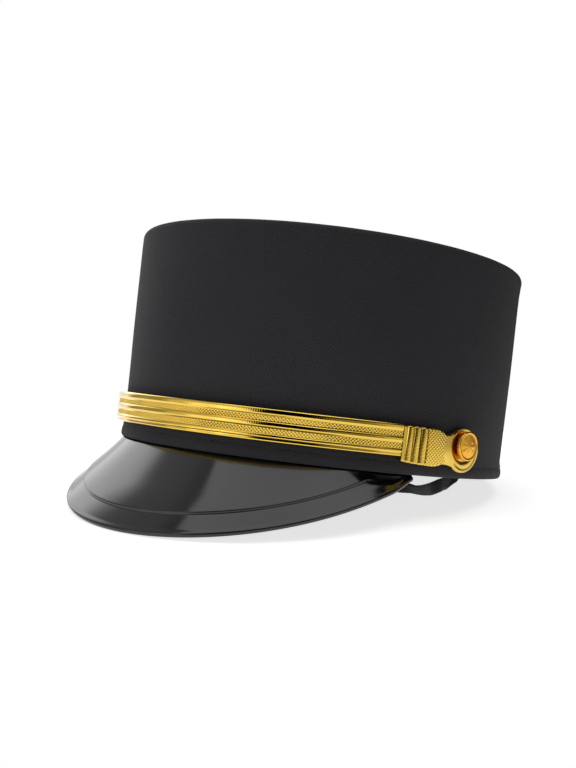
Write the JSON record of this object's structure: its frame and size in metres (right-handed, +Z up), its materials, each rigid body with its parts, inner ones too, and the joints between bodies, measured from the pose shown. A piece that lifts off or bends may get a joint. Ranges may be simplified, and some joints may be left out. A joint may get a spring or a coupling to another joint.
{
  "type": "railroad conductor cap",
  "caption": "Tall flat-topped black cloth cap with a glossy peak, a gold front band held by domed side buttons, and a flat chin elastic.",
  "frame": {"origin": "on the table, under the middle of the cap's box, with the cap lying as it rests by itself", "axes": "+X to the wearer's left, -Y to the front where the peak is, +Z up from the table"},
  "size_m": [0.1972, 0.25, 0.1295],
  "materials": {
    "crown_cloth": "stiffened black twill, matt",
    "visor_vinyl": "moulded black vinyl, high gloss",
    "gold_band": "moulded plastic, metallised bright gold",
    "button_metal": "stamped brass, lacquered amber gold",
    "elastic_webbing": "woven flat elastic, black"
  },
  "bodies": {
    "root": {"crown_side": "crown_cloth", "crown_top": "crown_cloth", "visor": "visor_vinyl", "front_strap": "gold_band", "strap_end_left": "gold_band", "strap_end_right": "gold_band", "button_left": "button_metal", "button_right": "button_metal", "chin_elastic": "elastic_webbing"}
  },
  "joints": []
}
